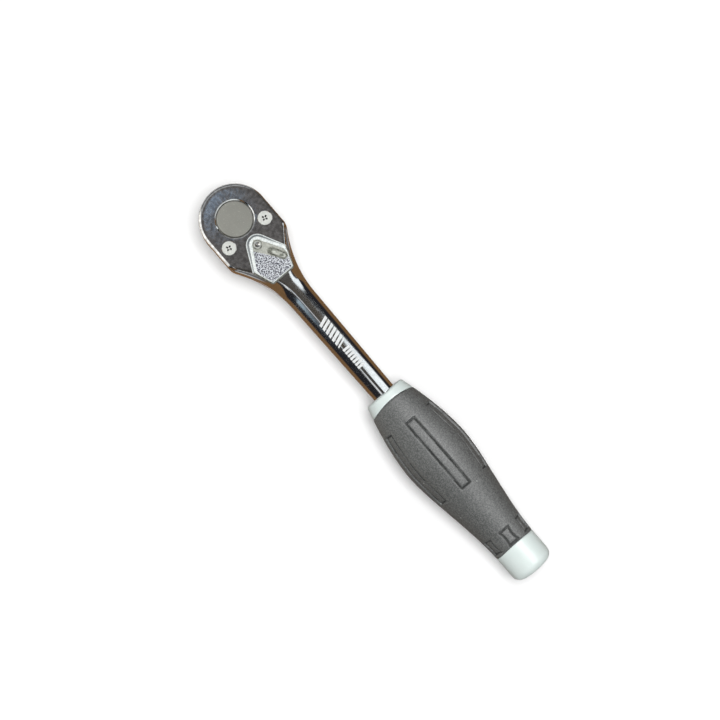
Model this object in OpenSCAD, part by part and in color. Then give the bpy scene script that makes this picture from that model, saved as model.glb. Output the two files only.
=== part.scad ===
// Reversible ratchet wrench with a pear head, a 3/8 inch square drive and a two-part moulded grip.
// Row frame: origin at the centre of the square drive's end face, +X along the handle, +Z up
// through the head to the reversing lever. Inside the modules z = 0 is the handle's axis.

/* [Head] */
// Radius of the head's round end and half width of its parallel sides
head_r = 14.5; // [14.3:0.1:15.5]
// Radius of the shoulders where the sides turn in to the neck
shoulder_r = 7; // [4:0.5:8]
// Half thickness of the head
head_half_t = 5.8; // [5.6:0.1:6.4]
// Thickness of the cover plate
cover_t = 2; // [1.8:0.1:2.2]

/* [Handle] */
// Half width of the shank where it leaves the neck
shank_front_r = 5.65; // [5:0.05:6]
// Half width of the shank where it enters the grip
shank_rear_r = 4.95; // [4.9:0.05:5.4]
// Where the shank enters the grip
grip_x = 91.7; // [90:0.1:96]
// Where the dark sleeve meets the end cap
cap_x = 172.1; // [171:0.1:174]
// Where the end cap ends
handle_end_x = 185.5; // [184:0.1:187]
// Thickness of the soft sleeve over the rigid core
sleeve_t = 2.6; // [2:0.1:3]
// Depth of the sleeve's sunk panels
panel_depth = 0.55; // [0.3:0.05:0.8]

/* [Drive] */
// Side of the square drive
square_w = 9.53; // [9.4:0.01:9.6]
// Length of the square drive
square_len = 10.5; // [10:0.1:11]
// Teeth on the drive gear
gear_teeth = 36; // [36:12:36]
// Radius over the gear's teeth
gear_tip_r = 9.5; // [9.3:0.05:9.5]
// Depth of a gear tooth
tooth_depth = 1; // [0.8:0.05:1]
// Radius of the drive disc that shows in the cover plate
disc_r = 7.2; // [7:0.1:7.5]

/* [Reversing] */
// Distance from the drive axis to the pivot of the lever and the pawl
pivot_x = 13.9; // [13.7:0.1:14.1]
// Lever swing to each side, in degrees
lever_swing = 14; // [10:1:14]
// Pawl swing to each side, in degrees
pawl_swing = 7; // [7:0.5:7]
// Height of the lever's pad above the cover plate
pad_t = 2.4; // [2:0.1:3]

/* [Fastening] */
// Distance of each cover screw from the drive axis, along the handle
screw_x = 7.4; // [7.2:0.1:7.6]
// Distance of each cover screw from the centre line
screw_y = 9.4; // [9.2:0.1:9.6]
// Radius of the cover screws' shanks
screw_r = 1.5; // [1.4:0.05:1.5]
// Radius of the cover screws' heads
screw_head_r = 2.8; // [2.6:0.1:2.9]

/* [Hidden] */
$fn = 96;

play = 0.05;                       // running clearance, on the radius
over = 1;                          // how far a cutter runs past a face
thin = 0.01;                       // thickness of a slab inside a hull
seam_z = head_half_t - cover_t;    // where the cover plate lies on the body
plate_end_x = 20.2;                // rear edge of the cover plate

// Head outline: the shoulder arcs run tangent off the sides and just cross the neck's hollow arcs
neck_r = 49;
neck_end_x = 43;
neck_cy = shank_front_r + neck_r;
shoulder_cy = head_r - shoulder_r;
neck_start = [neck_end_x - sqrt(pow(neck_r + shoulder_r, 2) - pow(neck_cy - shoulder_cy, 2)), shoulder_cy];
shoulder_end = neck_start + ([neck_end_x, neck_cy] - neck_start) * shoulder_r / (neck_r + shoulder_r);
shoulder_cx = neck_start[0] + 0.1;
edge_r = 1.5;                      // rounding of the head's edges
neck_round_r = 35;                 // hollow that turns the neck's flat section into the round shank

// Pocket and drive
pocket_half_t = 3.8;               // the pocket reaches this far above and below the axis
pocket_r = gear_tip_r + 0.3;
boss_r = 8;                        // round bearing between the gear and the square
boss_end_z = -head_half_t - 0.5;
square_end_z = boss_end_z - square_len;
axis_z = -square_end_z;            // height of the handle's axis over the drive's end face
washer_t = 0.4;
disc_top_z = head_half_t + 0.2;

// Detent ball in the drive square
ball_r = 1.6;
ball_out = 0.7;                    // how far the ball stands out of the square's face
ball_x = -(square_w / 2 + ball_out - ball_r);
ball_z = square_end_z + 5;
ball_bore_end_x = 2.8;

// Lever, pawl and plunger, measured from the pivot
pin_r = 1.5;
pin_head_r = 2;
pad_z = head_half_t + 0.1;
pad_top_z = pad_z + pad_t;
tail_reach = 4.6;                  // the ridge on the pawl's tail
block_reach = [5.3, 9.5];          // the lever's block, inside the pocket
block_half_w = 2.5;
block_bottom_z = -3;
plunger_r = 1.05;
plunger_tip = tail_reach + 0.08;
plunger_len = 2.1;
spring_room = 2.1;
slot_half_w = 5;
slot_end_x = pivot_x + block_reach[1] + 0.5;

// Grip outline as [x, radius] knots, joined by a smooth curve
grip_knots = [[88, 7.6], [94.5, 9.65], [104, 12], [114, 13.75], [124, 14.55], [134, 13.85],
              [144, 12.4], [154, 10.9], [163, 9.75], [172.1, 9.2], [180, 9.2]];
collar_round = 1;                  // rounding of the collar's front edge
sleeve_x = 95.3;                   // foremost point of the sleeve
sleeve_front_r = 28.3;             // plan radius of the sleeve's front edge
tail_r = 4.6;                      // shank inside the grip
tail_flat = 4;                     // half distance between its flats
tail_end_x = 152;
spigot_r = 5;                      // core's tail inside the end cap
spigot_end_x = 179;
cap_r = 9.2;
cap_edge_r = 3.4;
cap_dome = 0.5;                    // how far the cap's end face is domed
long_panel = [106, 140.5];
long_panel_angle = 22.5;
short_panel = [163.5, 170.5];
short_panel_angle = 34;
panel_count = 6;

// ---------- functions ----------

// Catmull-Rom curve through knots, as one value of radius at x
function grip_span(x, i = 1) =
    (i >= len(grip_knots) - 2 || x < grip_knots[i][0]) ? i - 1 : grip_span(x, i + 1);
function knot_slope(i) =
    let (a = max(i - 1, 0), b = min(i + 1, len(grip_knots) - 1))
    (grip_knots[b][1] - grip_knots[a][1]) / (grip_knots[b][0] - grip_knots[a][0]);
function grip_radius(x) =
    let (i = grip_span(x), a = grip_knots[i], b = grip_knots[i + 1], w = b[0] - a[0], t = (x - a[0]) / w)
    a[1] * (1 + 2 * t) * pow(1 - t, 2) + knot_slope(i) * w * t * pow(1 - t, 2)
    + b[1] * t * t * (3 - 2 * t) - knot_slope(i + 1) * w * t * t * (1 - t);

// Stations from a to b, about 4 mm apart
function stations(a, b) =
    let (n = ceil((b - a) / 4))
    [for (i = [0:n]) a + (b - a) * i / n];

function polar(r, a) = [r * cos(a), r * sin(a)];

// Gear outline, grown by e for the pawl's clearance. One tooth points along +X
function gear_points(e) =
    let (pitch = 360 / gear_teeth, grow = e * 180 / (PI * gear_tip_r),
         root_r = gear_tip_r - tooth_depth + e, tip_r = gear_tip_r + e,
         root_a = pitch * 0.36 + grow, tip_a = pitch * 0.1 + grow)
    [for (i = [0:gear_teeth - 1]) for (p = [[root_r, -root_a], [tip_r, -tip_a], [tip_r, tip_a], [root_r, root_a]])
        polar(p[0], pitch * i + p[1])];

// ---------- shared shapes ----------

// Turns a profile drawn as [x, radius] about the handle's axis
module lathe(points, angle = 360) {
    rotate([0, 90, 0]) rotate_extrude(angle = angle) polygon([for (p = points) [p[1], p[0]]]);
}

// Cylinder along +X from x = a to x = b
module rod(r, a, b) {
    translate([a, 0, 0]) rotate([0, 90, 0]) cylinder(r = r, h = b - a);
}

// Round coil spring about +X, closed at both ends
module coil_spring(a, b, r, wire, turns) {
    sides = 6;
    steps = 12 * turns;
    rings = [for (i = [0:steps])
        let (t = i / steps, turn = 360 * turns * t, x = a + wire + (b - a - 2 * wire) * t)
        [for (k = [0:sides - 1])
            let (c = 360 * k / sides, rr = r + wire * cos(c))
            [x + wire * sin(c), rr * cos(turn), rr * sin(turn)]]];
    points = [for (ring = rings) for (p = ring) p];
    last = steps * sides;
    faces = concat(
        [[for (k = [0:sides - 1]) k]],
        [for (i = [0:steps - 1]) for (k = [0:sides - 1])
            let (n = (k + 1) % sides)
            [i * sides + k, (i + 1) * sides + k, (i + 1) * sides + n, i * sides + n]],
        [[for (k = [sides - 1:-1:0]) last + k]]);
    polyhedron(points, faces);
}

// Half section of a flat disc or bar: reaches half width w, with rounded edges
module rounded_half(w) {
    translate([0, -head_half_t]) square([w - edge_r, 2 * head_half_t]);
    translate([0, edge_r - head_half_t]) square([w, 2 * (head_half_t - edge_r)]);
    for (side = [-1, 1]) translate([w - edge_r, side * (head_half_t - edge_r)]) circle(r = edge_r, $fn = 48);
}

// Cutter of the neck's hollow side, leaving rounded edges
module hollow_cutter() {
    reach = neck_r + edge_r;
    rotate_extrude($fn = 240) difference() {
        translate([neck_r - 12, -head_half_t - over]) square([12 + edge_r, 2 * (head_half_t + over)]);
        translate([neck_r, edge_r - head_half_t]) square([edge_r + over, 2 * (head_half_t - edge_r)]);
        for (side = [-1, 1]) translate([reach, side * (head_half_t - edge_r)]) circle(r = edge_r, $fn = 48);
    }
}

// Flat neck behind the shoulders, with hollow sides, turned down to the round shank
module neck() {
    difference() {
        translate([0, 0, -head_half_t]) linear_extrude(2 * head_half_t)
            polygon([neck_start, shoulder_end, [neck_end_x, shoulder_end[1]], [neck_end_x, -shoulder_end[1]],
                     [shoulder_end[0], -shoulder_end[1]], [neck_start[0], -shoulder_cy]]);
        for (side = [-1, 1]) translate([neck_end_x, side * neck_cy, 0]) hollow_cutter();
        rotate([0, 90, 0]) rotate_extrude() intersection() {
            translate([shank_front_r + neck_round_r, neck_end_x]) circle(r = neck_round_r, $fn = 240);
            translate([shank_front_r - over, 20]) square([12, neck_end_x - 20 + over]);
        }
    }
}

// Head, neck and shank before the cover plate is parted from it
module forging() {
    rotate_extrude() rounded_half(head_r);
    rotate([90, 0, 90]) linear_extrude(shoulder_cx) {
        rounded_half(head_r);
        mirror([1, 0]) rounded_half(head_r);
    }
    for (side = [-1, 1]) translate([shoulder_cx, side * shoulder_cy, 0]) rotate_extrude() rounded_half(shoulder_r);
    neck();
    translate([neck_end_x, 0, 0]) rotate([0, 90, 0])
        cylinder(r1 = shank_front_r, r2 = shank_rear_r, h = grip_x + 0.5 - neck_end_x);
}

// Space of the cover plate, drawn in by gap at its rear edge
module cover_space(gap) {
    translate([-head_r - over, -head_r - over, seam_z])
        cube([head_r + over + plate_end_x - gap, 2 * (head_r + over), cover_t + over]);
}

// Slot that lets the lever's block swing
module block_slot(bottom, top) {
    translate([pivot_x + tail_reach - 0.4, -slot_half_w, bottom])
        cube([slot_end_x - pivot_x - tail_reach + 0.4, 2 * slot_half_w, top - bottom]);
}

module at_screws() {
    for (side = [-1, 1]) translate([screw_x, side * screw_y, 0]) children();
}

module at_pivot() {
    translate([pivot_x, 0, 0]) children();
}

// ---------- head ----------

// Room for the pawl, from the gear's pocket back to the lever's block
module pawl_pocket() {
    outline = [[7, 6.34], [10.4, 8.3], [12.4, 7.2], [14.4, slot_half_w], [slot_end_x, slot_half_w]];
    far_side = [for (i = [len(outline) - 1:-1:0]) [outline[i][0], -outline[i][1]]];
    translate([0, 0, -pocket_half_t]) linear_extrude(2 * pocket_half_t) polygon(concat(outline, far_side));
}

module forged_body() {
    color("silver") difference() {
        union() {
            forging();
            intersection() {
                rod(tail_r, grip_x, tail_end_x);
                translate([grip_x, -tail_r, -tail_flat]) cube([tail_end_x - grip_x, 2 * tail_r, 2 * tail_flat]);
            }
        }
        cover_space(0);
        translate([0, 0, -pocket_half_t]) cylinder(r = pocket_r, h = 2 * pocket_half_t + over);
        translate([0, 0, -head_half_t - over]) cylinder(r = boss_r + play, h = head_half_t + over);
        pawl_pocket();
        block_slot(-pocket_half_t, head_half_t + over);
        at_pivot() translate([0, 0, -5]) cylinder(r = pin_r, h = 5);
        at_screws() translate([0, 0, -1.5]) cylinder(r = screw_r, h = seam_z + 2.5);
    }
}

module cover_plate() {
    hole_r = disc_r + 0.12;
    rim = 0.7;     // chamfer of the disc's hole
    cone_h = screw_head_r - screw_r;
    color("gainsboro") difference() {
        intersection() {
            forging();
            cover_space(0.05);
        }
        translate([0, 0, seam_z - over]) cylinder(r = hole_r, h = cover_t + 2 * over);
        translate([0, 0, head_half_t - rim]) cylinder(r1 = hole_r, r2 = hole_r + 2 * rim, h = 2 * rim);
        at_screws() {
            translate([0, 0, seam_z - over]) cylinder(r = screw_r, h = cover_t + 2 * over);
            translate([0, 0, head_half_t - cone_h - play]) cylinder(r1 = screw_r, r2 = screw_head_r, h = cone_h);
            translate([0, 0, head_half_t - play]) cylinder(r = screw_head_r, h = over);
        }
        at_pivot() translate([0, 0, seam_z - over]) cylinder(r = pin_r + play, h = cover_t + 2 * over);
        block_slot(seam_z - over, head_half_t + over);
    }
}

// Countersunk cross-recess screw
module cover_screw(side) {
    cone_h = screw_head_r - screw_r;
    top = head_half_t - play;
    slot = [0.65, 2.9, 1.1];
    color("white") translate([screw_x, side * screw_y, 0]) difference() {
        union() {
            translate([0, 0, -1.2]) cylinder(r = screw_r, h = top - cone_h + 1.2);
            translate([0, 0, top - cone_h]) cylinder(r1 = screw_r, r2 = screw_head_r, h = cone_h);
        }
        for (turn = [25, 115]) rotate(turn)
            translate([-slot[0] / 2, -slot[1] / 2, top - slot[2]]) cube([slot[0], slot[1], slot[2] + over]);
    }
}

// ---------- drive ----------

module drive_gear() {
    gear_bottom = -pocket_half_t + washer_t + play;
    gear_top = pocket_half_t - play;
    chamfer = 0.3;
    corner_r = 6.2;
    color("darkgray") difference() {
        union() {
            translate([0, 0, gear_bottom]) linear_extrude(gear_top - gear_bottom) polygon(gear_points(0));
            translate([0, 0, boss_end_z]) cylinder(r = boss_r, h = gear_bottom - boss_end_z);
            translate([0, 0, gear_top]) cylinder(r = disc_r, h = disc_top_z - chamfer - gear_top);
            translate([0, 0, disc_top_z - chamfer]) cylinder(r1 = disc_r, r2 = disc_r - chamfer, h = chamfer);
            intersection() {
                translate([-square_w / 2, -square_w / 2, square_end_z]) cube([square_w, square_w, square_len]);
                union() {
                    translate([0, 0, square_end_z + 1]) cylinder(r = corner_r, h = square_len);
                    translate([0, 0, square_end_z]) cylinder(r1 = corner_r - 1.2, r2 = corner_r, h = 1);
                }
            }
        }
        translate([0, 0, ball_z]) {
            rod(ball_r + play, ball_x, ball_bore_end_x);
            translate([ball_x, 0, 0]) sphere(r = ball_r + play);
        }
    }
}

module detent_ball() {
    color("lightsteelblue") translate([ball_x, 0, ball_z]) sphere(r = ball_r);
}

module detent_spring() {
    color("dimgray") translate([0, 0, ball_z])
        coil_spring(ball_x + ball_r + play, ball_bore_end_x - play, ball_r - 0.35, 0.2, 4);
}

// Ring that keeps the gear off the pocket's floor and gives it drag
module thrust_washer() {
    color("goldenrod") translate([0, 0, -pocket_half_t]) difference() {
        cylinder(r = pocket_r - 0.15, h = washer_t);
        translate([0, 0, -over]) cylinder(r = boss_r + 0.15, h = washer_t + 2 * over);
    }
}

// ---------- reversing gear ----------

module gear_as_seen_from_pawl(turn) {
    at_pivot() rotate(-turn) translate([-pivot_x, 0, 0]) polygon(gear_points(0.06));
}

module pawl() {
    bottom_z = -pocket_half_t + washer_t + 0.1;
    top_z = pocket_half_t - 0.2;
    tail_half_w = 2.3;
    tail_slope = 22;
    side = [[10.2, 0], [10.7, 1.9], [9.6, 3.5], [8.2, 4.3], [6.8, 5.4], [8.95, 7.15], [11.6, 6.4],
            [15.3, tail_half_w], [pivot_x + tail_reach - tail_half_w * tan(tail_slope), tail_half_w],
            [pivot_x + tail_reach, 0]];
    far_side = [for (i = [len(side) - 2:-1:1]) [side[i][0], -side[i][1]]];
    color("slategray") translate([0, 0, bottom_z]) linear_extrude(top_z - bottom_z) difference() {
        polygon(concat(side, far_side));
        circle(r = gear_tip_r + 0.15);
        at_pivot() circle(r = pin_r + play);
        gear_as_seen_from_pawl(pawl_swing);
        gear_as_seen_from_pawl(-pawl_swing);
    }
}

module pivot_pin() {
    head_t = 0.5;
    color("lightgray") at_pivot() {
        translate([0, 0, -5]) cylinder(r = pin_r, h = pad_top_z - head_t + 5);
        translate([0, 0, pad_top_z - head_t]) cylinder(r1 = pin_head_r, r2 = pin_head_r - 0.5, h = head_t);
    }
}

// Slab of the lever's pad from z = a to z = b, with a round nose at the pivot and four smaller corners
module lever_slab(a, b, nose_r, wide_r, tail_r) {
    translate([0, 0, a]) {
        at_pivot() cylinder(r = nose_r, h = b - a, $fn = 48);
        for (side = [-1, 1]) {
            translate([21.5, side * 7, 0]) cylinder(r = wide_r, h = b - a, $fn = 32);
            translate([28.75, side * 4.6, 0]) cylinder(r = tail_r, h = b - a, $fn = 32);
        }
    }
}

module reverse_lever() {
    field = [[16.6, 0], [21.4, 6.5], [28.4, 4.2], [28.4, -4.2], [21.4, -6.5]];
    field_depth = 0.35;
    color("whitesmoke") difference() {
        union() {
            hull() {
                lever_slab(pad_z, pad_z + 0.5, 4.6, 1.7, 1.3);
                lever_slab(pad_top_z - thin, pad_top_z, 3.3, 1.1, 0.9);
            }
            translate([pivot_x + block_reach[0], -block_half_w, block_bottom_z])
                cube([block_reach[1] - block_reach[0], 2 * block_half_w, pad_z - block_bottom_z + 0.5]);
        }
        translate([0, 0, pad_top_z - field_depth]) linear_extrude(over) difference() {
            polygon(field);
            translate([21.6, 4]) rotate(28) square([7.2, 2.2], center = true);
        }
        at_pivot() translate([0, 0, pad_z - over]) cylinder(r = pin_r + play, h = pad_t + 2 * over);
        at_pivot() translate([0, 0, pad_top_z - 0.55]) cylinder(r = pin_head_r + play, h = over);
        translate([pivot_x, 0, 0]) rod(plunger_r + play, block_reach[0] - over, plunger_tip + plunger_len + spring_room);
    }
}

module selector_plunger() {
    color("silver") at_pivot() {
        rod(plunger_r, plunger_tip + plunger_r, plunger_tip + plunger_len);
        translate([plunger_tip + plunger_r, 0, 0]) sphere(r = plunger_r);
    }
}

module selector_spring() {
    start = plunger_tip + plunger_len;
    color("dimgray") at_pivot() coil_spring(start + play, start + spring_room - play, plunger_r - 0.22, 0.14, 4);
}

// ---------- grip ----------

// Everything behind the sleeve's front edge, which is an arc seen from above
module behind_sleeve_edge() {
    size = 2 * (grip_radius(124) + over);
    translate([sleeve_x + sleeve_front_r, 0, -size / 2]) {
        cylinder(r = sleeve_front_r, h = size);
        translate([0, -size / 2, 0]) cube([cap_x - sleeve_x, size, size]);
    }
}

// Solid of the grip's outline between two stations, drawn in by d
module grip_solid(a, b, d) {
    lathe(concat([[a, 0]], [for (x = stations(a, b)) [x, grip_radius(x) - d]], [[b, 0]]));
}

// Rings of sunk panels round the sleeve
module panel_cutters(span, angle) {
    xs = stations(span[0], span[1]);
    band = concat([for (x = xs) [x, grip_radius(x) - panel_depth]],
                  [for (i = [len(xs) - 1:-1:0]) [xs[i], grip_radius(xs[i]) + over]]);
    for (k = [0:panel_count - 1]) rotate([360 * k / panel_count - angle / 2, 0, 0])
        rotate([180, 0, 0]) lathe(band, angle);
}

module grip_core() {
    color("honeydew") difference() {
        union() {
            grip_solid(grip_x + 2, cap_x, sleeve_t);
            difference() {
                union() {
                    grip_solid(grip_x + collar_round, sleeve_x + 3, 0);
                    lathe([[grip_x, 0], [grip_x, grip_radius(grip_x) - collar_round],
                           [grip_x + collar_round * 0.3, grip_radius(grip_x) - collar_round * 0.3],
                           [grip_x + collar_round, grip_radius(grip_x + collar_round)], [grip_x + collar_round, 0]]);
                }
                behind_sleeve_edge();
            }
            rod(spigot_r, cap_x - 1, spigot_end_x);
        }
        intersection() {
            rod(tail_r, grip_x - over, tail_end_x);
            translate([grip_x - over, -tail_r, -tail_flat])
                cube([tail_end_x - grip_x + over, 2 * tail_r, 2 * tail_flat]);
        }
        rod(shank_rear_r + 0.02, grip_x - over, grip_x + 0.5);
    }
}

module grip_sleeve() {
    color("dimgray") difference() {
        intersection() {
            grip_solid(sleeve_x - over, cap_x, 0);
            behind_sleeve_edge();
        }
        grip_solid(grip_x + 2, cap_x, sleeve_t);
        rod(grip_radius(cap_x) - sleeve_t, cap_x - 1, cap_x + over);
        panel_cutters(long_panel, long_panel_angle);
        panel_cutters(short_panel, short_panel_angle);
    }
}

module end_cap() {
    edge_x = handle_end_x - cap_dome - cap_edge_r;
    face_r = cap_r - cap_edge_r;
    rim = [for (k = [0:6]) let (a = 15 * k) [edge_x + cap_edge_r * sin(a), face_r + cap_edge_r * cos(a)]];
    dome = [for (k = [3:-1:0]) [handle_end_x - cap_dome * pow(k / 4, 2), face_r * k / 4]];
    color("honeydew") difference() {
        lathe(concat([[cap_x, 0], [cap_x, cap_r]], rim, dome));
        rod(spigot_r, cap_x - over, spigot_end_x);
    }
}

// ---------- the assembly ----------

module in_row_frame() {
    translate([0, 0, axis_z]) children();
}

in_row_frame() forged_body();
in_row_frame() cover_plate();
in_row_frame() cover_screw(1);  // cover_screw_left
in_row_frame() cover_screw(-1);  // cover_screw_right
in_row_frame() drive_gear();
in_row_frame() detent_ball();
in_row_frame() detent_spring();
in_row_frame() thrust_washer();
in_row_frame() pawl();
in_row_frame() pivot_pin();
in_row_frame() reverse_lever();
in_row_frame() selector_plunger();
in_row_frame() selector_spring();
in_row_frame() grip_core();
in_row_frame() grip_sleeve();
in_row_frame() end_cap();
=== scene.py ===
"""Looks of the ratchet wrench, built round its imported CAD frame. Lengths below are millimetres
from the drive axis, with z = 0 on the handle's axis, as in the CAD source; meshes are written in
metres in the row's frame."""

import math

import bmesh
import bpy
from mathutils import Matrix, Vector, noise
from mathutils.geometry import delaunay_2d_cdt


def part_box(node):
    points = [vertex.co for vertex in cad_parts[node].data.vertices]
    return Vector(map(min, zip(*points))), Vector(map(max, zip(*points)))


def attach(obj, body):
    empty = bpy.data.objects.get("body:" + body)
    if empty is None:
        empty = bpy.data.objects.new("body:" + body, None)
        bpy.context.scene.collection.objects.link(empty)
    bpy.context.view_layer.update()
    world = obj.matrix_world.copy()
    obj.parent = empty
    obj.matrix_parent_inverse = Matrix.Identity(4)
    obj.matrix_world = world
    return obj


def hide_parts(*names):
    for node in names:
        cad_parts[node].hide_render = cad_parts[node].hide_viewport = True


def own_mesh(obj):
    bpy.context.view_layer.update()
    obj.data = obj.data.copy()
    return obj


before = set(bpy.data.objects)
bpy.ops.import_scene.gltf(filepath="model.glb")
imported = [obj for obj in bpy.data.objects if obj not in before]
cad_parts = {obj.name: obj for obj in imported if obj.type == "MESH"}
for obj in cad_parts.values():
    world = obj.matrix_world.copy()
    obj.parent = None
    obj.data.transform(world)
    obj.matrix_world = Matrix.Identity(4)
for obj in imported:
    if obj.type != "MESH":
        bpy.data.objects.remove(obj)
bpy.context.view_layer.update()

# ---------- sizes

MM = 0.001
HEAD_HALF_T = 5.8
AXIS_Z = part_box("forged_body")[0][2] / MM + HEAD_HALF_T    # height of the handle's axis

# Forging
HEAD_R = 14.5
SHOULDER_R = 7.0
NECK_R = 49.0
NECK_EASE_X = 28.0
NECK_END_X = 43.0
SHANK_FRONT_R = 5.65
SHANK_REAR_R = 4.95
EDGE_R = 1.5
ROUNDING_X = (13, 36)      # where the edges turn from rounded to fully round
FULL = 0.985               # most that an edge rounding takes of the half width or height

# Openings in the head
CLEAR = 20                 # cutters reach beyond the head on every side,
ABOVE, BELOW = 12, -8      # above and below it,
UNDER = 3                  # or start just under the cover plate
POCKET_TOP_Z, SLOT_TOP_Z = 10, 9
SEAM_Z = 3.8
PLATE_END_X = 20.15
POCKET_HALF_T = 3.8
POCKET_R = 9.8
BEARING_HOLE_R = 8.05
BEARING_LEAD = 0.45
PAWL_POCKET = [(7, 6.34), (10.4, 8.3), (12.4, 7.2), (14.4, 5), (23.9, 5)]
SLOT = ((18.1, -5.0), (23.9, 5.0))
HOLE_GAP = 0.12
LIP, LIP_DROP = 0.8, 0.36

# Screws: a recess wing is (height from the top, near, far, half width) at its mouth and floor
SCREW_AT = (7.4, 9.4)
SCREW_HEAD_R = 2.8
SCREW_R = 1.5
CROWN_DEG, CROWN_H = 24, 0.12
WING_TURNS = (25, 115, 205, 295)
WING = ((0.3, 0.32, 1.4, 0.38), (-1.0, 0.42, 0.8, 0.22))

# Lever and pin
PIVOT_X = 13.9
PIN_R = 1.5
PIN_BORE_R = 1.56
PIN_WELL_R = 2.06
PAD_Z = 5.9
PAD_SIDE = 0.5
PAD_TOP_Z = 8.3
LEVER_CORNERS = [(PIVOT_X, 0.0), (21.5, 7.0), (28.75, 4.6), (28.75, -4.6), (21.5, -7.0)]
BASE_RADII = (4.6, 1.7, 1.3)
TOP_RADII = (3.3, 1.1, 0.9)
RIM = 1.25
NOSE_RIM = 0.5
TAIL_RIM = 0.35
LEDGE = 0.4
FIELD_DEPTH = 0.35
RIB_AT, RIB_TURN, RIB_HALF = (21.6, 3.9), 29, (3.7, 1.05)
RIB_VALLEY = 0.75
STIPPLE_AT, STIPPLE_SLOPE, STIPPLE_TAIL_X = (15.8, -2.2), 0.717, 25.0
STIPPLE_DEPTH = 0.24
PAD_SPACING = 0.17
PAD_REACH = (30.3, 8.8)    # beyond the pad's tail and sides
BLOCK = ((PIVOT_X + 5.3, -2.5, -3), (PIVOT_X + 9.5, 2.5, PAD_Z + 0.3))
BLOCK_BORE = (PIVOT_X + 4, PIVOT_X + 8.88, 1.1)

# Drive
DISC_R = 7.2
DISC_TOP_Z = 6.0
DISC_EDGE = 0.28
BEARING_R = 8.0
FLANGE_Z = -6.3
TEETH = 36
TOOTH = ((8.5, -3.6), (9.5, -1), (9.5, 1), (8.5, 3.6))
SQUARE = 9.53
SQUARE_LENGTH = 10.5
BALL_X = -3.865
BALL_UP = 5.0
BALL_BORE_R = 1.65
BALL_BORE_END_X = 2.8
BALL_TRAVEL, PLUNGER_TRAVEL = 0.7, 0.4

# Grip
GRIP_X = 91.7
SLEEVE_X = 95.3
SLEEVE_FRONT_R = 28.3
SLEEVE_T = 2.6
SLEEVE_BORE_X = 97.8
SLEEVE_REAR_SAG = 1.1
CAP_X = 172.1
CAP_R = 9.2
CAP_EDGE_R = 3.4
CAP_CROWN = 0.5
END_X = 185.5
CORE_EDGE = 1.3
CORE_STATIONS = (98.5, 104, 112, 120, 128, 136, 144, 152, 160, 168)
CORE_END_X, CORE_END_R = 178.9, 5
SHANK_HOLE_R = 5.06
TAIL_END_X, TAIL_HOLE_R = 152, 4.55
AXIS_R = 0.05              # pinhole left on the axis where a turned face would meet it
GRIP_KNOTS = [(88, 7.6), (94.5, 9.65), (104, 12), (114, 13.75), (124, 14.55), (134, 13.85),
              (144, 12.4), (154, 10.9), (163, 9.75), (CAP_X, CAP_R), (180, CAP_R)]
LONG_PANEL = (106.0, 140.5, 2.5)
SHORT_PANEL = (163.5, 170.5, 2.9)
SHORT_WAIST = 0.75
PANEL_WALL = 0.35
PANEL_DEPTH = 0.5
LINE_DEPTH, LINE_HALF = 0.45, 0.4

# Plain hatching on the shank: start, end, half height, period and lean of each group
HATCHES = ((53.0, 65.6, 2.2, 1.9, 0.35), (67.6, 78.2, 1.6, 1.5, 0.0))
BAR_EDGE, BAR_SOFT = 0.17, 0.08    # a bar's edge as a share of the period, and its softness

# Stage
BELLY_X, BELLY_R = 124.0, 14.55
KEY_HEIGHT = 1.2
FLOOR_GAP = 0.12

# ---------- mesh tools


def to_row(p):
    """A point in millimetres about the handle's axis, as metres in the row's frame."""
    return Vector((p[0] * MM, p[1] * MM, (p[2] + AXIS_Z) * MM))


def polar(r, degrees):
    """A point at radius r in the direction of an angle."""
    a = math.radians(degrees)
    return r * math.cos(a), r * math.sin(a)


def circle(r, count, centre=(0, 0)):
    """Points evenly round a circle."""
    turns = [2 * math.pi * i / count for i in range(count)]
    return [(centre[0] + r * math.cos(t), centre[1] + r * math.sin(t)) for t in turns]


def smoothstep(a, b, x):
    """Smooth rise from 0 to 1 as x goes from a to b."""
    t = min(max((x - a) / (b - a), 0.0), 1.0)
    return t * t * (3 - 2 * t)


def shade(mesh, degrees):
    """Smooth shading, sharp at edges over an angle."""
    for polygon in mesh.polygons:
        polygon.use_smooth = True
    mesh.set_sharp_from_angle(angle=math.radians(degrees))


def new_object(name, bm, sharp=35.0):
    """An object from a bmesh in row metres, sharp at edges over an angle."""
    bmesh.ops.recalc_face_normals(bm, faces=bm.faces)
    mesh = bpy.data.meshes.new(name)
    bm.to_mesh(mesh)
    bm.free()
    shade(mesh, sharp)
    obj = bpy.data.objects.new(name, mesh)
    bpy.context.scene.collection.objects.link(obj)
    return obj


def apply_modifier(obj, kind, **settings):
    """Adds a modifier, applies its result to the object's mesh and drops it."""
    modifier = obj.modifiers.new("step", kind)
    for key, value in settings.items():
        setattr(modifier, key, value)
    depsgraph = bpy.context.evaluated_depsgraph_get()
    mesh = bpy.data.meshes.new_from_object(obj.evaluated_get(depsgraph))
    obj.modifiers.clear()
    old = obj.data
    obj.data = mesh
    bpy.data.meshes.remove(old)


def boolean(obj, cutters, operation="DIFFERENCE"):
    """Applies exact booleans in turn, then removes the cutters."""
    for cutter in cutters:
        apply_modifier(obj, "BOOLEAN", operation=operation, solver="EXACT", object=cutter)
        bpy.data.objects.remove(cutter)


def weld(bm, distance):
    """Merges vertices closer than a distance in millimetres."""
    bmesh.ops.remove_doubles(bm, verts=bm.verts, dist=distance * MM)


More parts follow.
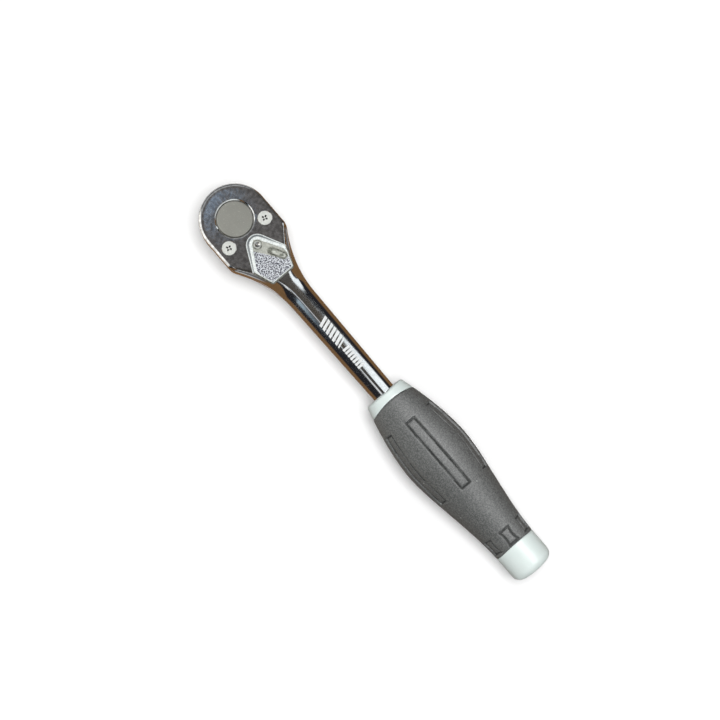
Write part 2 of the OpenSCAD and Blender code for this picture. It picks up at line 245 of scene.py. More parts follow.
def finish_hard(obj):
    """Cleans and shades a cut solid, with its flats kept flat."""
    mesh = obj.data
    bm = bmesh.new()
    bm.from_mesh(mesh)
    weld(bm, 0.002)
    bmesh.ops.dissolve_degenerate(bm, edges=bm.edges, dist=0.001 * MM)
    bm.to_mesh(mesh)
    bm.free()
    shade(mesh, 30.0)
    apply_modifier(obj, "WEIGHTED_NORMAL", keep_sharp=True, weight=60, thresh=0.02)


def skin(bm, rows, wrap_rows=True, wrap_points=True):
    """Quads between rows of vertices, all of one length; either way may close on itself."""
    count = len(rows[0])
    for a, b in zip(rows, rows[1:] + (rows[:1] if wrap_rows else [])):
        for k in range(count if wrap_points else count - 1):
            n = (k + 1) % count
            bm.faces.new((a[k], b[k], b[n], a[n]))


def add_loft(bm, rings, cap_start=True):
    """Skins a list of closed rings of points and closes its ends."""
    rows = [[bm.verts.new(to_row(p)) for p in ring] for ring in rings]
    skin(bm, rows, wrap_rows=False)
    if cap_start:
        bm.faces.new(rows[0])
    bm.faces.new(rows[-1])


def loft(name, rings, sharp=35.0):
    """A solid skinned over rings of points."""
    bm = bmesh.new()
    add_loft(bm, rings)
    return new_object(name, bm, sharp)


def prism(name, outline, bottom, top):
    """An upright prism on a plan outline."""
    return loft(name, [[(x, y, z) for x, y in outline] for z in (bottom, top)])


def box_between(name, low, high):
    """A box from its low corner to its high one."""
    (xa, ya, za), (xb, yb, zb) = low, high
    return prism(name, [(xa, ya), (xb, ya), (xb, yb), (xa, yb)], za, zb)


def rod(name, start, end, r, z=0.0):
    """A cylinder along X."""
    return loft(name, [[(x, *p) for p in circle(r, 40, (0, z))] for x in (start, end)])


def lathe(name, profile, centre=(0, 0), steps=96, sharp=35.0):
    """Turns a closed profile of (radius, z) about a vertical axis."""
    bm = bmesh.new()
    rows = []
    for i in range(steps):
        a = 2 * math.pi * i / steps
        ring = [(centre[0] + r * math.cos(a), centre[1] + r * math.sin(a), z) for r, z in profile]
        rows.append([bm.verts.new(to_row(p)) for p in ring])
    count = len(profile)
    for i in range(steps):
        a, b = rows[i], rows[(i + 1) % steps]
        for k in range(count):
            n = (k + 1) % count
            bm.faces.new((a[k], a[n], b[n], b[k]))
    weld(bm, 0.0005)
    return new_object(name, bm, sharp)


def upright(name, r, bottom, top, centre=(0, 0)):
    """An upright cylinder."""
    return lathe(name, [(0, bottom), (r, bottom), (r, top), (0, top)], centre)


def coil(name, node, wire, turns):
    """Round-wire spring along X that fills a CAD spring's box; wire is its radius. One closed
    turn at each end is added to its turns."""
    low, high = (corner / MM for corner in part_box(node))
    middle_y, middle_z = (low.y + high.y) / 2, (low.z + high.z) / 2 - AXIS_Z
    coil_r = (high.y - low.y) / 2 - wire
    length = high.x - low.x - 2 * wire
    steps = 28 * (turns + 2)
    rings = []
    for i in range(steps + 1):
        turn = (turns + 2) * i / steps
        along = 2 * wire * (min(turn, 1) + max(turn - turns - 1, 0))
        along += (length - 4 * wire) * min(max(turn - 1, 0), turns) / turns
        c, s = polar(1, 360 * turn)
        ring = []
        for off, ahead in circle(wire, 10):
            out = coil_r + off
            ring.append((low.x + wire + along + ahead, middle_y + out * c, middle_z + out * s))
        rings.append(ring)
    return loft(name, rings, sharp=60)


# ---------- forging

NECK_CY = SHANK_FRONT_R + NECK_R
SHOULDER_CY = HEAD_R - SHOULDER_R
RISE = NECK_CY - SHOULDER_CY
SHOULDER_CX = NECK_END_X - math.sqrt((NECK_R + SHOULDER_R) ** 2 - RISE ** 2)
SHOULDER_ANGLE = math.degrees(math.atan2(RISE, NECK_END_X - SHOULDER_CX))
SHANK_END_X = GRIP_X + 0.5


def outline_stations():
    """Half outline of head, neck and shank: (spine x, outline x, y, stretch of the rounding)."""
    stations = [(0.0, *polar(HEAD_R, 180 - 90 * i / 30), 1.0) for i in range(31)]
    stations += [(x, x, HEAD_R, 1.0) for x in [SHOULDER_CX * i / 8 for i in range(1, 9)]]
    for i in range(1, 11):
        a = math.radians(90 + (SHOULDER_ANGLE - 90) * i / 10)
        x = SHOULDER_CX + SHOULDER_R * math.cos(a)
        stations.append((x, x, SHOULDER_CY + SHOULDER_R * math.sin(a), 1 / math.sin(a)))
    start = stations[-1][0]
    for i in range(1, 31):
        x = start + (NECK_END_X - start) * i / 30
        rise = math.sqrt(NECK_R ** 2 - (NECK_END_X - x) ** 2)
        stations.append((x, x, NECK_CY - rise, NECK_R / rise))
    for i in range(1, 25):
        x = NECK_END_X + (SHANK_END_X - NECK_END_X) * i / 24
        stations.append((x, x, SHANK_FRONT_R + (SHANK_REAR_R - SHANK_FRONT_R) * i / 24, 1.0))
    return stations


def neck_height(x):
    """Half height of the forging: the head's, easing down to the round shank."""
    if x >= NECK_END_X:
        along = x - NECK_END_X
        return SHANK_FRONT_R + (SHANK_REAR_R - SHANK_FRONT_R) * along / (SHANK_END_X - NECK_END_X)
    ease = smoothstep(NECK_EASE_X, NECK_END_X, x)
    return HEAD_HALF_T + (SHANK_FRONT_R - HEAD_HALF_T) * ease


def forging(name):
    """The head, neck and shank in one skin that follows the outline."""
    rings = []
    arc_steps = 10
    arc = [math.pi / 2 * (1 - i / arc_steps) for i in range(arc_steps + 1)]
    for sx, ox, oy, stretch in outline_stations():
        width = math.hypot(ox - sx, oy)
        dx, dy = (ox - sx) / width, oy / width
        h = neck_height(ox)
        c = EDGE_R + (min(width, h) * FULL - EDGE_R) * smoothstep(*ROUNDING_X, ox)
        cy = min(c * stretch, width * FULL)
        half = [(0.0, h), ((width - cy) * 0.6, h), ((width - cy) * 0.93, h)]
        half += [(width - cy + cy * math.cos(t), h - c + c * math.sin(t)) for t in arc]
        half += [(width, 0.0)]
        half += [(r, -z) for r, z in reversed(half[:-1])]
        plus = [(sx + dx * r, dy * r, z) for r, z in half]
        minus = [(sx + dx * r, -dy * r, z) for r, z in half[-2:0:-1]]
        rings.append(plus + minus)
    bm = bmesh.new()
    add_loft(bm, rings, cap_start=False)
    weld(bm, 0.002)
    doubled = [f for f in bm.faces if len(set(f.verts)) < 3]
    bmesh.ops.delete(bm, geom=doubled, context="FACES")
    return new_object(name, bm)


body = forging("head_and_shank")
pawl_outline = PAWL_POCKET + [(x, -y) for x, y in reversed(PAWL_POCKET)]
boolean(body, [
    box_between("cut_seam", (-CLEAR, -CLEAR, SEAM_Z), (PLATE_END_X + 0.05, CLEAR, ABOVE)),
    upright("cut_pocket", POCKET_R, -POCKET_HALF_T, POCKET_TOP_Z),
    lathe("cut_bearing", [
        (0, BELOW), (BEARING_HOLE_R + BEARING_LEAD, BELOW),
        (BEARING_HOLE_R + BEARING_LEAD, -HEAD_HALF_T),
        (BEARING_HOLE_R, -HEAD_HALF_T + BEARING_LEAD), (BEARING_HOLE_R, -3), (0, -3)]),
    prism("cut_pawl", pawl_outline, -POCKET_HALF_T, 5),
    box_between("cut_slot", (*SLOT[0], -POCKET_HALF_T - 0.001), (*SLOT[1], SLOT_TOP_Z)),
])
finish_hard(body)

plate = forging("head_cover")
boolean(plate, [box_between("keep_plate", (-CLEAR, -CLEAR, SEAM_Z + 0.02),
                            (PLATE_END_X, CLEAR, ABOVE))], "INTERSECT")
hole_r = DISC_R + HOLE_GAP
lip_arc = [(hole_r + LIP, HEAD_HALF_T + 0.001), (hole_r + LIP - 0.08, HEAD_HALF_T - 0.02),
           (hole_r + 0.1, HEAD_HALF_T - LIP_DROP), (hole_r, HEAD_HALF_T - LIP_DROP - 0.08)]
sink_r = SCREW_HEAD_R + HOLE_GAP
sink_profile = [
    (0, UNDER), (SCREW_R + 0.02, UNDER),
    (SCREW_R + 0.02, HEAD_HALF_T - (sink_r - SCREW_R) - 0.1),
    (sink_r, HEAD_HALF_T - 0.1), (sink_r, HEAD_HALF_T - 0.08),
    (SCREW_HEAD_R + 0.35, HEAD_HALF_T + 0.1), (SCREW_HEAD_R + 0.35, ABOVE), (0, ABOVE)]
cutters = [
    lathe("cut_disc", [(0, UNDER), (0, ABOVE), (hole_r + LIP, ABOVE)] + lip_arc
          + [(hole_r, UNDER)]),
    box_between("cut_block", (*SLOT[0], UNDER), (*SLOT[1], SLOT_TOP_Z)),
    upright("cut_pin", PIN_R + 0.05, UNDER, ABOVE, (PIVOT_X, 0)),
]
for side in (1, -1):
    cutters.append(lathe("cut_screw", sink_profile, (SCREW_AT[0], side * SCREW_AT[1])))
boolean(plate, cutters)
finish_hard(plate)

# ---------- screws and pin


def screw(name, side):
    """Countersunk cross-recess screw, its head a little crowned."""
    top = HEAD_HALF_T - 0.05
    edge_c, edge_s = polar(1, CROWN_DEG)
    profile = []
    for t in (0, 6, 12, 18, 22, CROWN_DEG):
        c, s = polar(1, t)
        profile.append((SCREW_HEAD_R * s / edge_s,
                        top - CROWN_H + CROWN_H * (c - edge_c) / (1 - edge_c)))
    profile += [(SCREW_HEAD_R, top - 0.22), (SCREW_R, top - 1.5), (SCREW_R, -1.2), (0, -1.2)]
    at_x, at_y = SCREW_AT[0], side * SCREW_AT[1]
    obj = lathe(name, profile, (at_x, at_y), steps=64)
    cutters = []
    for turn in WING_TURNS:
        c, s = polar(1, turn)
        rings = []
        for up, near, far, half_w in WING:
            ring = [(near, -half_w), (far * 0.85, -half_w), (far, -half_w * 0.6),
                    (far, half_w * 0.6), (far * 0.85, half_w), (near, half_w)]
            rings.append([(at_x + x * c - y * s, at_y + x * s + y * c, top + up)
                          for x, y in ring])
        cutters.append(loft("cut_recess", rings))
    boolean(obj, cutters)
    finish_hard(obj)
    return obj


screws = [screw("cross_screw_left", 1), screw("cross_screw_right", -1)]

# The pin's head: radius and depth under the pad's top, from the dimple's middle to the edge.
pin_head = [(0, 0.75), (0.4, 0.62), (0.85, 0.1), (1.1, 0.0), (1.6, 0.06), (1.85, 0.2),
            (1.98, 0.42), (1.98, 0.5), (PIN_R, 0.5)]
pin_profile = [(r, PAD_TOP_Z - depth) for r, depth in pin_head] + [(PIN_R, -5), (0, -5)]
pin = lathe("pivot_rivet", pin_profile, (PIVOT_X, 0), steps=64, sharp=50)

# ---------- lever


def lever_outline(radii, steps=9):
    """The taut loop round the pad's corner circles; radii are the nose's, the wide corners'
    and the tail's."""
    nose, wide, tail = radii
    circles = [(*c, r) for c, r in zip(LEVER_CORNERS, (nose, wide, tail, tail, wide))]
    order = [circles[i] for i in (0, 4, 3, 2, 1)]
    points = []
    n = len(order)

    def leave(a, b):
        """Direction of the outward normal of the outer tangent from circle a to circle b."""
        dx, dy = b[0] - a[0], b[1] - a[1]
        return math.atan2(dy, dx) - math.acos((a[2] - b[2]) / math.hypot(dx, dy))

    for i in range(n):
        before, here, after = order[i - 1], order[i], order[(i + 1) % n]
        start, end = leave(before, here), leave(here, after)
        while end < start:
            end += 2 * math.pi
        count = max(4, int(steps * (end - start)))
        for k in range(count + 1):
            a = start + (end - start) * k / count
            points.append((here[0] + here[2] * math.cos(a), here[1] + here[2] * math.sin(a)))
    return points


def edge_lines(outline):
    """A convex outline's edges as points with inward normals."""
    lines = []
    for (ax, ay), (bx, by) in zip(outline, outline[1:] + outline[:1]):
        length = math.hypot(bx - ax, by - ay)
        if length > 1e-4:
            lines.append((ax, ay, -(by - ay) / length, (bx - ax) / length))
    return lines


def inset(lines, x, y):
    """How far a point is inside a convex outline, negative outside."""
    return min((x - ax) * nx + (y - ay) * ny for ax, ay, nx, ny in lines)


OUTLINE = lever_outline(BASE_RADII)
TOP_OUTLINE = lever_outline(TOP_RADII, 14)
BASE_LINES = edge_lines(OUTLINE)
TOP_LINES = edge_lines(TOP_OUTLINE)
NOSE_LINES = [line for line in TOP_LINES if line[2] > 0]
TAIL_LINES = [line for line in TOP_LINES if line[2] <= 0]


def from_pivot(x, y):
    """Distance from the lever's pin."""
    return math.hypot(x - PIVOT_X, y)


def rib_distance(x, y):
    """Distance outside the raised bar, negative inside it."""
    dx, dy = x - RIB_AT[0], y - RIB_AT[1]
    c, s = polar(1, RIB_TURN)
    u = max(abs(dx * c + dy * s) - (RIB_HALF[0] - RIB_HALF[1]), 0.0)
    return math.hypot(u, dy * c - dx * s) - RIB_HALF[1]


def rim_distance(x, y):
    """Distance inside the raised rim, which is wide beside the nose and narrow at the tail."""
    beside = min((x - ax) * nx + (y - ay) * ny
                 - NOSE_RIM - (RIM - NOSE_RIM) * smoothstep(0.25, 0.6, abs(ny))
                 for ax, ay, nx, ny in NOSE_LINES)
    return min(beside, inset(TAIL_LINES, x, y) - TAIL_RIM)


def stipple(x, y):
    """How strongly the pad is stippled: below a slanting line and over the tail."""
    line = STIPPLE_SLOPE * (x - STIPPLE_AT[0]) + STIPPLE_AT[1] - y
    below = smoothstep(-0.3, 0.3, line)
    beyond = smoothstep(STIPPLE_TAIL_X - 0.4, STIPPLE_TAIL_X + 0.4, x)
    clear = smoothstep(0.3, 0.6, rib_distance(x, y)) * smoothstep(2.6, 3.2, from_pivot(x, y))
    return smoothstep(-0.1, 0.2, rim_distance(x, y)) * max(below, beyond) * clear


def pad_height(x, y):
    """Top of the pad: flat rim and nose, sunk stippled field, one raised bar in a valley,
    sloping sides."""
    d = inset(TOP_LINES, x, y)
    if d < 0:
        outer = max(inset(BASE_LINES, x, y), 0)
        ledge = PAD_Z + PAD_SIDE + 0.3 * smoothstep(0, 0.15, outer)
        up = max(outer - LEDGE, 0)
        return ledge + (PAD_TOP_Z - 0.1 - ledge) * up / (up - d)
    rim_round = 0.1 * (1 - smoothstep(0, 0.35, d))
    pin_r = from_pivot(x, y)
    field = smoothstep(-0.15, 0.25, rim_distance(x, y)) * smoothstep(2.5, 3.3, pin_r)
    off_bar = rib_distance(x, y)
    off = smoothstep(-0.6, 0.15, off_bar)
    valley = off * (1 - smoothstep(0.15, RIB_VALLEY + 0.2, off_bar))
    p = Vector((x * 2.0, y * 2.0, 3.7))
    grain = noise.noise(p) + 0.6 * noise.noise(p * 2.1)
    z = PAD_TOP_Z - rim_round - FIELD_DEPTH * field * off - 0.3 * valley * field
    z += STIPPLE_DEPTH * grain * stipple(x, y)
    if pin_r < 2.05:
        z = PAD_TOP_Z - 0.6
    elif pin_r < 2.5:
        z -= 0.2 * (1 - (pin_r - 2.05) / 0.45) ** 2
    return min(z, PAD_TOP_Z + 0.05)


def lever_pad(name):
    """The pad: a finely meshed top, short upright sides and a flat underside."""
    steps = 48
    points = [Vector(p) for p in OUTLINE]
    start = len(points)
    edges = [(i, (i + 1) % start) for i in range(start)]
    for r in (PIN_BORE_R, PIN_WELL_R):
        first = len(points)
        points += [Vector(p) for p in circle(r, steps, (PIVOT_X, 0))]
        edges += [(first + i, first + (i + 1) % steps) for i in range(steps)]
    x = PIVOT_X - BASE_RADII[0]
    row = 0
    while x < PAD_REACH[0]:
        y = -PAD_REACH[1] + (PAD_SPACING / 2 if row % 2 else 0)
        while y < PAD_REACH[1]:
            if inset(BASE_LINES, x, y) > 0.12 and from_pivot(x, y) > 2.2:
                points.append(Vector((x, y)))
            y += PAD_SPACING
        x += PAD_SPACING * 0.87
        row += 1
    points += [Vector(p) for p in TOP_OUTLINE]
    verts, _, faces, _, _, _ = delaunay_2d_cdt(points, edges, [], 0, 1e-5)
    bm = bmesh.new()
    base = PAD_Z + PAD_SIDE
    top = []
    for v in verts:
        on_edge = inset(BASE_LINES, v.x, v.y) < 0.01
        z = base if on_edge else max(pad_height(v.x, v.y), base)
        top.append(bm.verts.new(to_row((v.x, v.y, z))))
    for face in faces:
        middle = sum((verts[i] for i in face), Vector((0, 0))) / len(face)
        if inset(BASE_LINES, *middle) > 0 and from_pivot(*middle) > PIN_BORE_R - 0.01:
            bm.faces.new([top[i] for i in face])
    loose = [v for v in bm.verts if not v.link_faces]
    bmesh.ops.delete(bm, geom=loose, context="VERTS")
    rim_edges = [e for e in bm.edges if len(e.link_faces) == 1]
    extruded = bmesh.ops.extrude_edge_only(bm, edges=rim_edges)
    for part in extruded["geom"]:
        if isinstance(part, bmesh.types.BMVert):
            part.co.z = (PAD_Z + AXIS_Z) * MM
    open_edges = [e for e in bm.edges if len(e.link_faces) == 1]
    bmesh.ops.triangle_fill(bm, use_beauty=True, edges=open_edges)
    return new_object(name, bm, sharp=42)


lever = lever_pad("thumb_lever")
block = box_between("lever_block", *BLOCK)
apply_modifier(block, "BEVEL", width=0.25 * MM, segments=2, limit_method="ANGLE")
boolean(block, [rod("cut_bore", *BLOCK_BORE)])
finish_hard(block)

# ---------- drive


def gear_points():
    """Outline of the gear's teeth."""
    return [polar(r, 360 / TEETH * i + a) for i in range(TEETH) for r, a in TOOTH]


def square_ring(half, corner_r, steps=8):
    """Square section whose corners are cut back to a circle of corner_r."""
    reach = min(math.degrees(math.acos(min(half / corner_r, 1))), 44.0)
    return [polar(corner_r, 90 * q + (reach + (90 - 2 * reach) * i / steps))
            for q in range(4) for i in range(steps + 1)]


def square_drive(name):
    """Square tang with rounded corners, eased edges, a rolled lead-in and the ball's bore."""
    bottom = FLANGE_Z - SQUARE_LENGTH
    half = SQUARE / 2
    rings = []
    for z, h, r in ((-3, half, 6.2), (bottom + 1.3, half, 6.2), (bottom + 0.8, half - 0.05, 6.05),
                    (bottom + 0.35, half - 0.25, 5.6), (bottom + 0.08, half - 0.6, 5.1),
                    (bottom, half - 1.0, 4.7)):
        rings.append([(x, y, z) for x, y in square_ring(h, r)])
    obj = loft(name, rings)
    ball_z = bottom + BALL_UP
    bm = bmesh.new()
    bmesh.ops.create_uvsphere(bm, u_segments=48, v_segments=24, radius=BALL_BORE_R * MM)
    bmesh.ops.translate(bm, verts=bm.verts, vec=to_row((BALL_X, 0, ball_z)))
    boolean(obj, [new_object("cut_seat", bm),
                  rod("cut_bore", BALL_X, BALL_BORE_END_X, BALL_BORE_R + 0.01, ball_z)])
    finish_hard(obj)
    return obj


disc_profile = [(0, DISC_TOP_Z), (DISC_R - DISC_EDGE, DISC_TOP_Z)]
for t in (30, 60, 90):
    up, out = polar(DISC_EDGE, t)
    disc_profile.append((DISC_R - DISC_EDGE + out, DISC_TOP_Z - DISC_EDGE + up))
disc = lathe("drive_disc", disc_profile + [(DISC_R, 3.7), (0, 3.7)], steps=128)
bearing = lathe("drive_bearing", [
    (0, -3.3), (BEARING_R, -3.3), (BEARING_R, FLANGE_Z + 0.4), (BEARING_R - 0.1, FLANGE_Z + 0.15),
    (BEARING_R - 0.35, FLANGE_Z), (0, FLANGE_Z)], steps=128)
teeth = prism("drive_teeth", gear_points(), -3.35, 3.75)
finish_hard(teeth)
tang = square_drive("drive_tang")
ball_spring = coil("ball_spring", "detent_spring", wire=0.2, turns=4)
plunger_spring = coil("plunger_spring", "selector_spring", wire=0.14, turns=3)

# ---------- grip


def grip_radius(x):
    """Smooth curve through the grip's knots."""
    knots = GRIP_KNOTS
    i = 0
    while i < len(knots) - 2 and x >= knots[i + 1][0]:
        i += 1

    def slope(k):
        """The curve's slope at a knot."""
        a, b = max(k - 1, 0), min(k + 1, len(knots) - 1)
        return (knots[b][1] - knots[a][1]) / (knots[b][0] - knots[a][0])

    (xa, ra), (xb, rb) = knots[i], knots[i + 1]
    w = xb - xa
    t = (x - xa) / w
    return (ra * (1 + 2 * t) * (1 - t) ** 2 + slope(i) * w * t * (1 - t) ** 2
            + rb * t * t * (3 - 2 * t) - slope(i + 1) * w * t * t * (1 - t))


def sleeve_front(angle):
    """Where the sleeve starts at an angle round the grip; the edge is an arc from above."""
    x = SLEEVE_X
    for _ in range(4):
        y = grip_radius(x) * math.sin(angle)
        x = SLEEVE_X + SLEEVE_FRONT_R - math.sqrt(SLEEVE_FRONT_R ** 2 - y * y)
    return x


def sleeve_rear(angle):
    """Where the sleeve meets the cap: an arc like the front one, but flatter."""
    y = CAP_R * math.sin(angle)
    return CAP_X - SLEEVE_REAR_SAG * (1 - (y / CAP_R) ** 2)


def panel_sink(x, angle):
    """How deep the sleeve is sunk: six long panels and six short ones with waists."""
    sixth = math.pi / 3
    turn = (angle + sixth / 2) % sixth - sixth / 2
    across = abs(turn) * grip_radius(x)
    a, b, half = LONG_PANEL
    edge = min(x - a, b - x, half - across)
    a, b, half = SHORT_PANEL
    waist = half - SHORT_WAIST * (1 - ((2 * x - a - b) / (b - a)) ** 2) if a < x < b else half
    edge = max(edge, min(x - a, b - x, waist - across))
    line = LINE_DEPTH * math.exp(-((edge - PANEL_WALL) / LINE_HALF) ** 2)
    return PANEL_DEPTH * smoothstep(-PANEL_WALL / 2, PANEL_WALL / 2, edge) + line


def turned(around, section, closed=True):
    """A bmesh turned about the handle's axis, and its rows; section gives (x, radius) points
    at an angle."""
    bm = bmesh.new()
    rows = []
    for k in range(around):
        angle = 2 * math.pi * k / around
        s, c = math.sin(angle), math.cos(angle)
        rows.append([bm.verts.new(to_row((x, r * s, r * c))) for x, r in section(angle)])
    skin(bm, rows, wrap_points=closed)
    return bm, rows


def sleeve_section(angle):
    """The soft sleeve: outer skin, plain bore and turned-in ends."""
    front = sleeve_front(angle)
    rear = sleeve_rear(angle) - 0.03
    points = []
    count = 216
    for i in range(count + 1):
        x = front + (rear - front) * i / count
        lip = 0.22 * (1 - smoothstep(0.0, 0.5, x - front))
        lip += 0.22 * (1 - smoothstep(0.0, 0.4, rear - x))
        points.append((x, grip_radius(x) - panel_sink(x, angle) - lip))
    for i in range(30, -1, -1):
        x = SLEEVE_BORE_X + (CAP_X - SLEEVE_BORE_X) * i / 30
        points.append((min(x, rear), grip_radius(x) - SLEEVE_T + 0.02))
    return points + [(front + 0.05, grip_radius(front) - SLEEVE_T * 0.7)]


def core_section(angle):
    """Pale core: rounded collar in front of the sleeve, plain under it, with the shank's hole."""
    front = sleeve_front(angle) - 0.03
    edge_x = GRIP_X + CORE_EDGE
    points = [(GRIP_X, SHANK_HOLE_R), (GRIP_X, grip_radius(GRIP_X) - 1.6)]
    for t in range(0, 91, 15):
        ahead, out = polar(CORE_EDGE, t)
        points.append((edge_x - ahead, grip_radius(edge_x) - CORE_EDGE + out))
    for i in range(1, 7):
        x = edge_x + (front - edge_x) * i / 6
        lip = 0.12 if i == 6 else 0
        points.append((x - lip, grip_radius(x) - lip))
    points.append((front, grip_radius(front) - SLEEVE_T * 0.6))
    for x in (*CORE_STATIONS, CAP_X):
        points.append((x, grip_radius(x) - SLEEVE_T))
    return points + [(CAP_X, CORE_END_R), (CORE_END_X, CORE_END_R), (CORE_END_X, AXIS_R),
                     (TAIL_END_X, AXIS_R), (TAIL_END_X, TAIL_HOLE_R),
                     (SHANK_END_X, TAIL_HOLE_R), (SHANK_END_X, SHANK_HOLE_R)]


def cap_section(angle):
    """End cap with a rounded, slightly crowned end and a small gate mark in its middle."""
    front = sleeve_rear(angle)
    edge_x = END_X - CAP_CROWN - CAP_EDGE_R
    face_r = CAP_R - CAP_EDGE_R
    points = [(CAP_X + 0.1, CORE_END_R), (front, 7.5), (front, CAP_R - 0.2), (front + 0.04, CAP_R - 0.08)]
    points += [(front + 0.16, CAP_R), (front + 1.2, CAP_R)]
    points += [(CAP_X + d, CAP_R) for d in (2, 4, 6)]
    for t in range(0, 82, 9):
        out, back = polar(CAP_EDGE_R, t)
        points.append((edge_x + back, face_r + out))
    points += [(END_X - CAP_CROWN * (r / face_r) ** 2, r)
               for r in (face_r * 0.97, 5, 4, 3, 2, 1.35)]
    return points + [(END_X - 0.2, 1.2), (END_X - 0.16, 0.9), (END_X - 0.14, AXIS_R)]


bm, _ = turned(336, sleeve_section)
sleeve = new_object("soft_sleeve", bm, sharp=60)

bm, _ = turned(144, core_section)
weld(bm, 0.001)
core = new_object("pale_core", bm, sharp=40)

bm, rows = turned(144, cap_section, closed=False)
bm.faces.new([row[-1] for row in reversed(rows)])
bm.faces.new([row[0] for row in rows])
cap = new_object("pale_cap", bm, sharp=40)

# ---------- node trees


class Graph:
    """A short way to write a node tree. Values are numbers, colours or sockets."""

    def __init__(self, owner):
        owner.use_nodes = True
        self.tree = owner.node_tree
        self.tree.nodes.clear()
        self.place = None

    def put(self, value, socket):
        if hasattr(value, "node"):
            self.tree.links.new(value, socket)
        else:
            socket.default_value = value

    def add(self, kind, inputs=None, **settings):
        """A shader node with its settings and its inputs, by name or number."""
        node = self.tree.nodes.new("ShaderNode" + kind)
        for key, value in settings.items():
            setattr(node, key, value)
        for key, value in (inputs or {}).items():
            self.put(value, node.inputs[key])
        return node

    def noise(self, scale, detail=3.0, roughness=0.55, vector=None):
        node = self.add("TexNoise",
                        {"Scale": scale, "Detail": detail, "Roughness": roughness})
        vector = vector or self.place
        if vector:
            self.put(vector, node.inputs["Vector"])
        return node.outputs["Fac"]

    def math(self, operation, a, b=0.0, clamp=False):
        return self.add("Math", {0: a, 1: b}, operation=operation,
                        use_clamp=clamp).outputs[0]

    def plus(self, a, b):
        return self.math("ADD", a, b)

    def minus(self, a, b):
        return self.math("SUBTRACT", a, b)

    def times(self, first, *others):
        for other in others:
            first = self.math("MULTIPLY", first, other)
        return first

    def mix(self, factor, a, b, blend="MIX"):
        a, b = ((*v, 1) if isinstance(v, tuple) else v for v in (a, b))
        return self.add("Mix", {"Factor": factor, 6: a, 7: b}, data_type="RGBA",
                        blend_type=blend).outputs[2]

    def step(self, value, low, high):
        """Smooth rise from 0 to 1 as value goes from low to high."""
        return self.add("MapRange", {"Value": value, "From Min": low, "From Max": high},
                        interpolation_type="SMOOTHSTEP").outputs["Result"]

    def band(self, value, low, high, soft):
        """One inside a range, zero outside it, with soft edges; the edges may be sockets."""
        rise = self.step(self.minus(value, low), -soft, soft)
        return self.times(rise, self.step(self.minus(high, value), -soft, soft))


class Look(Graph):
    """A procedural material that is fixed to its piece."""

    def __init__(self, name):
        self.material = bpy.data.materials.new(name)
        super().__init__(self.material)
        self.shader = self.add("BsdfPrincipled")
        self.add("OutputMaterial", {"Surface": self.shader.outputs[0]})
        self.place = self.add("TexCoord").outputs["Object"]

    def stretch(self, scale, turn):
        """Object coordinates, scaled and turned about Z."""
        return self.add("Mapping", {"Vector": self.place, "Scale": scale,
                                              "Rotation": (0, 0, turn)}).outputs[0]

    def axis(self, index):
        return self.add("SeparateXYZ", {0: self.place}).outputs[index]

    def ramp(self, value, low, high, start=0.0, end=1.0):
        """Greys from start to end as value goes from low to high."""
        node = self.add("ValToRGB", {"Fac": value})
        for element, at, grey in zip(node.color_ramp.elements, (low, high), (start, end)):
            element.position = at
            element.color = (grey, grey, grey, 1)
        return node.outputs["Color"]

    def bump(self, height, distance, strength=1.0, normal=None):
        """A bump normal over another one, with its depth in millimetres."""
        node = self.add("Bump", {"Distance": distance * MM, "Strength": strength,
                                           "Height": height})
        if normal:
            self.put(normal, node.inputs["Normal"])
        return node.outputs["Normal"]

    def set(self, **values):
        """Puts values or sockets on the shader and gives the material."""
        for key, value in values.items():
            self.put(value, self.shader.inputs[key.replace("_", " ")])
        return self.material


# ---------- materials


def scaled(factor, tone):
    """A lighter or darker tone."""
    return tuple(min(1.0, factor * t) for t in tone)


def chrome(name, tone, rough, wave, mottle, scratch_turn=0.0):
    """Plated steel: faint waviness, clouding, and fine scratches along and across."""
    n = Look(name)
    broad = n.noise(90, 2.0)
    blotch = n.noise(700)
    fine = n.noise(2200)
    scratches = n.noise(1.0, 3.0, 0.7, n.stretch((180, 4200, 2400), scratch_turn))
    cross = n.noise(1.0, 2.0, 0.7, n.stretch((3600, 240, 2400), scratch_turn + 0.5))
    marks = n.ramp(cross, 0.62, 0.75)
    colour = n.mix(n.ramp(blotch, 0.36, 0.64), scaled(1 - mottle, tone), tone)
    colour = n.mix(n.ramp(fine, 0.6, 0.75, end=0.5), colour, scaled(0.6, tone))
    colour = n.mix(n.times(marks, 0.4), colour, scaled(1.3, tone))
    lines = n.ramp(scratches, 0.5, 0.72)
    roughness = n.plus(rough, n.times(n.plus(lines, marks), 0.05))
    roughness = n.plus(roughness, n.times(blotch, 0.03))
    normal = n.bump(broad, wave * 4)
    normal = n.bump(blotch, wave, 1.0, normal)
    normal = n.bump(scratches, 0.0015, 0.5, normal)
    return n, colour, roughness, normal


def plain_chrome(*values):
    """Plated steel with nothing on it; takes the values of chrome."""
    n, colour, roughness, normal = chrome(*values)
    return n.set(Base_Color=colour, Metallic=1.0, Roughness=roughness, Normal=normal)


